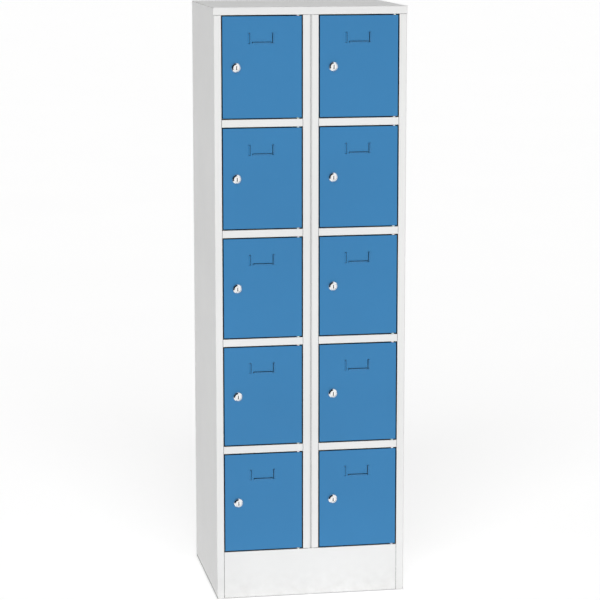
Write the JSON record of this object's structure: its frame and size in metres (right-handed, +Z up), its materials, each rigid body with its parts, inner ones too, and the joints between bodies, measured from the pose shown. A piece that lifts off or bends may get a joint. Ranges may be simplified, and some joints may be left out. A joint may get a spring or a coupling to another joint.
{
  "type": "coin operated locker",
  "caption": "Sheet-steel compartment locker with inset hinged doors, deposit coin locks, lanced card holders and a closed plinth.",
  "frame": {"origin": "centre of the overall footprint at floor level (the footprint includes the lock collars, which stand 9 mm off the doors)", "axes": "+X to the right seen from the front, +Y towards the back, +Z up"},
  "size_m": [0.6, 0.509, 1.85],
  "materials": {
    "frame_paint": "light grey powder coat, fine orange peel",
    "door_paint": "light blue powder coat, fine orange peel",
    "lock_chrome": "chrome-plated die casting",
    "lock_steel": "nickel-plated plug, zinc-plated cam",
    "slide_zinc": "raw zinc die casting",
    "pin_steel": "zinc plated",
    "bush_nylon": "white nylon",
    "buffer_rubber": "matt",
    "zinc_steel": "zinc plated",
    "foot_plastic": "moulded, matt"
  },
  "bodies": {
    "carcass": {"side_panel_left": "frame_paint", "side_panel_right": "frame_paint", "partition_left": "frame_paint", "partition_right": "frame_paint", "top_panel": "frame_paint", "back_panel": "frame_paint", "floor_panel": "frame_paint", "plinth_front": "frame_paint", "shelves_left": "frame_paint", "shelves_right": "frame_paint", "hinge_pins": "pin_steel", "hinge_bushes": "bush_nylon", "door_buffers": "buffer_rubber", "foot_brackets": "zinc_steel", "levelling_feet": "foot_plastic", "foot_nuts": "zinc_steel"},
    "door_left_1": {"door_left_1": "door_paint", "coin_lock_left_1": "lock_chrome"},
    "lock_plug_left_1": {"lock_plug_left_1": "lock_steel"},
    "coin_slide_left_1": {"coin_slide_left_1": "slide_zinc"},
    "door_left_2": {"door_left_2": "door_paint", "coin_lock_left_2": "lock_chrome"},
    "lock_plug_left_2": {"lock_plug_left_2": "lock_steel"},
    "coin_slide_left_2": {"coin_slide_left_2": "slide_zinc"},
    "door_left_3": {"door_left_3": "door_paint", "coin_lock_left_3": "lock_chrome"},
    "lock_plug_left_3": {"lock_plug_left_3": "lock_steel"},
    "coin_slide_left_3": {"coin_slide_left_3": "slide_zinc"},
    "door_left_4": {"door_left_4": "door_paint", "coin_lock_left_4": "lock_chrome"},
    "lock_plug_left_4": {"lock_plug_left_4": "lock_steel"},
    "coin_slide_left_4": {"coin_slide_left_4": "slide_zinc"},
    "door_left_5": {"door_left_5": "door_paint", "coin_lock_left_5": "lock_chrome"},
    "lock_plug_left_5": {"lock_plug_left_5": "lock_steel"},
    "coin_slide_left_5": {"coin_slide_left_5": "slide_zinc"},
    "door_right_1": {"door_right_1": "door_paint", "coin_lock_right_1": "lock_chrome"},
    "lock_plug_right_1": {"lock_plug_right_1": "lock_steel"},
    "coin_slide_right_1": {"coin_slide_right_1": "slide_zinc"},
    "door_right_2": {"door_right_2": "door_paint", "coin_lock_right_2": "lock_chrome"},
    "lock_plug_right_2": {"lock_plug_right_2": "lock_steel"},
    "coin_slide_right_2": {"coin_slide_right_2": "slide_zinc"},
    "door_right_3": {"door_right_3": "door_paint", "coin_lock_right_3": "lock_chrome"},
    "lock_plug_right_3": {"lock_plug_right_3": "lock_steel"},
    "coin_slide_right_3": {"coin_slide_right_3": "slide_zinc"},
    "door_right_4": {"door_right_4": "door_paint", "coin_lock_right_4": "lock_chrome"},
    "lock_plug_right_4": {"lock_plug_right_4": "lock_steel"},
    "coin_slide_right_4": {"coin_slide_right_4": "slide_zinc"},
    "door_right_5": {"door_right_5": "door_paint", "coin_lock_right_5": "lock_chrome"},
    "lock_plug_right_5": {"lock_plug_right_5": "lock_steel"},
    "coin_slide_right_5": {"coin_slide_right_5": "slide_zinc"}
  },
  "joints": [
    {"name": "door_hinge_left_1", "type": "hinge", "parent": "carcass", "child": "door_left_1", "pos_m": [-0.0395, -0.2395, 1.6682], "axis": [0, 0, 1], "range_deg": [0, 110]},
    {"name": "lock_turn_left_1", "type": "hinge", "parent": "door_left_1", "child": "lock_plug_left_1", "pos_m": [-0.2304, -0.2455, 1.6676], "axis": [0, -1, 0], "range_deg": [0, 90]},
    {"name": "coin_travel_left_1", "type": "slide", "parent": "door_left_1", "child": "coin_slide_left_1", "axis": [0, 0, 1], "range_m": [0, 0.0095]},
    {"name": "door_hinge_left_2", "type": "hinge", "parent": "carcass", "child": "door_left_2", "pos_m": [-0.0395, -0.2395, 1.3286], "axis": [0, 0, 1], "range_deg": [0, 110]},
    {"name": "lock_turn_left_2", "type": "hinge", "parent": "door_left_2", "child": "lock_plug_left_2", "pos_m": [-0.2304, -0.2455, 1.328], "axis": [0, -1, 0], "range_deg": [0, 90]},
    {"name": "coin_travel_left_2", "type": "slide", "parent": "door_left_2", "child": "coin_slide_left_2", "axis": [0, 0, 1], "range_m": [0, 0.0095]},
    {"name": "door_hinge_left_3", "type": "hinge", "parent": "carcass", "child": "door_left_3", "pos_m": [-0.0395, -0.2395, 0.989], "axis": [0, 0, 1], "range_deg": [0, 110]},
    {"name": "lock_turn_left_3", "type": "hinge", "parent": "door_left_3", "child": "lock_plug_left_3", "pos_m": [-0.2304, -0.2455, 0.9884], "axis": [0, -1, 0], "range_deg": [0, 90]},
    {"name": "coin_travel_left_3", "type": "slide", "parent": "door_left_3", "child": "coin_slide_left_3", "axis": [0, 0, 1], "range_m": [0, 0.0095]},
    {"name": "door_hinge_left_4", "type": "hinge", "parent": "carcass", "child": "door_left_4", "pos_m": [-0.0395, -0.2395, 0.6494], "axis": [0, 0, 1], "range_deg": [0, 110]},
    {"name": "lock_turn_left_4", "type": "hinge", "parent": "door_left_4", "child": "lock_plug_left_4", "pos_m": [-0.2304, -0.2455, 0.6488], "axis": [0, -1, 0], "range_deg": [0, 90]},
    {"name": "coin_travel_left_4", "type": "slide", "parent": "door_left_4", "child": "coin_slide_left_4", "axis": [0, 0, 1], "range_m": [0, 0.0095]},
    {"name": "door_hinge_left_5", "type": "hinge", "parent": "carcass", "child": "door_left_5", "pos_m": [-0.0395, -0.2395, 0.3098], "axis": [0, 0, 1], "range_deg": [0, 110]},
    {"name": "lock_turn_left_5", "type": "hinge", "parent": "door_left_5", "child": "lock_plug_left_5", "pos_m": [-0.2304, -0.2455, 0.3092], "axis": [0, -1, 0], "range_deg": [0, 90]},
    {"name": "coin_travel_left_5", "type": "slide", "parent": "door_left_5", "child": "coin_slide_left_5", "axis": [0, 0, 1], "range_m": [0, 0.0095]},
    {"name": "door_hinge_right_1", "type": "hinge", "parent": "carcass", "child": "door_right_1", "pos_m": [0.2605, -0.2395, 1.6682], "axis": [0, 0, 1], "range_deg": [0, 110]},
    {"name": "lock_turn_right_1", "type": "hinge", "parent": "door_right_1", "child": "lock_plug_right_1", "pos_m": [0.0696, -0.2455, 1.6676], "axis": [0, -1, 0], "range_deg": [0, 90]},
    {"name": "coin_travel_right_1", "type": "slide", "parent": "door_right_1", "child": "coin_slide_right_1", "axis": [0, 0, 1], "range_m": [0, 0.0095]},
    {"name": "door_hinge_right_2", "type": "hinge", "parent": "carcass", "child": "door_right_2", "pos_m": [0.2605, -0.2395, 1.3286], "axis": [0, 0, 1], "range_deg": [0, 110]},
    {"name": "lock_turn_right_2", "type": "hinge", "parent": "door_right_2", "child": "lock_plug_right_2", "pos_m": [0.0696, -0.2455, 1.328], "axis": [0, -1, 0], "range_deg": [0, 90]},
    {"name": "coin_travel_right_2", "type": "slide", "parent": "door_right_2", "child": "coin_slide_right_2", "axis": [0, 0, 1], "range_m": [0, 0.0095]},
    {"name": "door_hinge_right_3", "type": "hinge", "parent": "carcass", "child": "door_right_3", "pos_m": [0.2605, -0.2395, 0.989], "axis": [0, 0, 1], "range_deg": [0, 110]},
    {"name": "lock_turn_right_3", "type": "hinge", "parent": "door_right_3", "child": "lock_plug_right_3", "pos_m": [0.0696, -0.2455, 0.9884], "axis": [0, -1, 0], "range_deg": [0, 90]},
    {"name": "coin_travel_right_3", "type": "slide", "parent": "door_right_3", "child": "coin_slide_right_3", "axis": [0, 0, 1], "range_m": [0, 0.0095]},
    {"name": "door_hinge_right_4", "type": "hinge", "parent": "carcass", "child": "door_right_4", "pos_m": [0.2605, -0.2395, 0.6494], "axis": [0, 0, 1], "range_deg": [0, 110]},
    {"name": "lock_turn_right_4", "type": "hinge", "parent": "door_right_4", "child": "lock_plug_right_4", "pos_m": [0.0696, -0.2455, 0.6488], "axis": [0, -1, 0], "range_deg": [0, 90]},
    {"name": "coin_travel_right_4", "type": "slide", "parent": "door_right_4", "child": "coin_slide_right_4", "axis": [0, 0, 1], "range_m": [0, 0.0095]},
    {"name": "door_hinge_right_5", "type": "hinge", "parent": "carcass", "child": "door_right_5", "pos_m": [0.2605, -0.2395, 0.3098], "axis": [0, 0, 1], "range_deg": [0, 110]},
    {"name": "lock_turn_right_5", "type": "hinge", "parent": "door_right_5", "child": "lock_plug_right_5", "pos_m": [0.0696, -0.2455, 0.3092], "axis": [0, -1, 0], "range_deg": [0, 90]},
    {"name": "coin_travel_right_5", "type": "slide", "parent": "door_right_5", "child": "coin_slide_right_5", "axis": [0, 0, 1], "range_m": [0, 0.0095]}
  ],
  "couplings": [
    {"joint": "coin_travel_left_1", "follows": "lock_turn_left_1", "m_per_rad": 0.006},
    {"joint": "coin_travel_left_2", "follows": "lock_turn_left_2", "m_per_rad": 0.006},
    {"joint": "coin_travel_left_3", "follows": "lock_turn_left_3", "m_per_rad": 0.006},
    {"joint": "coin_travel_left_4", "follows": "lock_turn_left_4", "m_per_rad": 0.006},
    {"joint": "coin_travel_left_5", "follows": "lock_turn_left_5", "m_per_rad": 0.006},
    {"joint": "coin_travel_right_1", "follows": "lock_turn_right_1", "m_per_rad": 0.006},
    {"joint": "coin_travel_right_2", "follows": "lock_turn_right_2", "m_per_rad": 0.006},
    {"joint": "coin_travel_right_3", "follows": "lock_turn_right_3", "m_per_rad": 0.006},
    {"joint": "coin_travel_right_4", "follows": "lock_turn_right_4", "m_per_rad": 0.006},
    {"joint": "coin_travel_right_5", "follows": "lock_turn_right_5", "m_per_rad": 0.006}
  ]
}
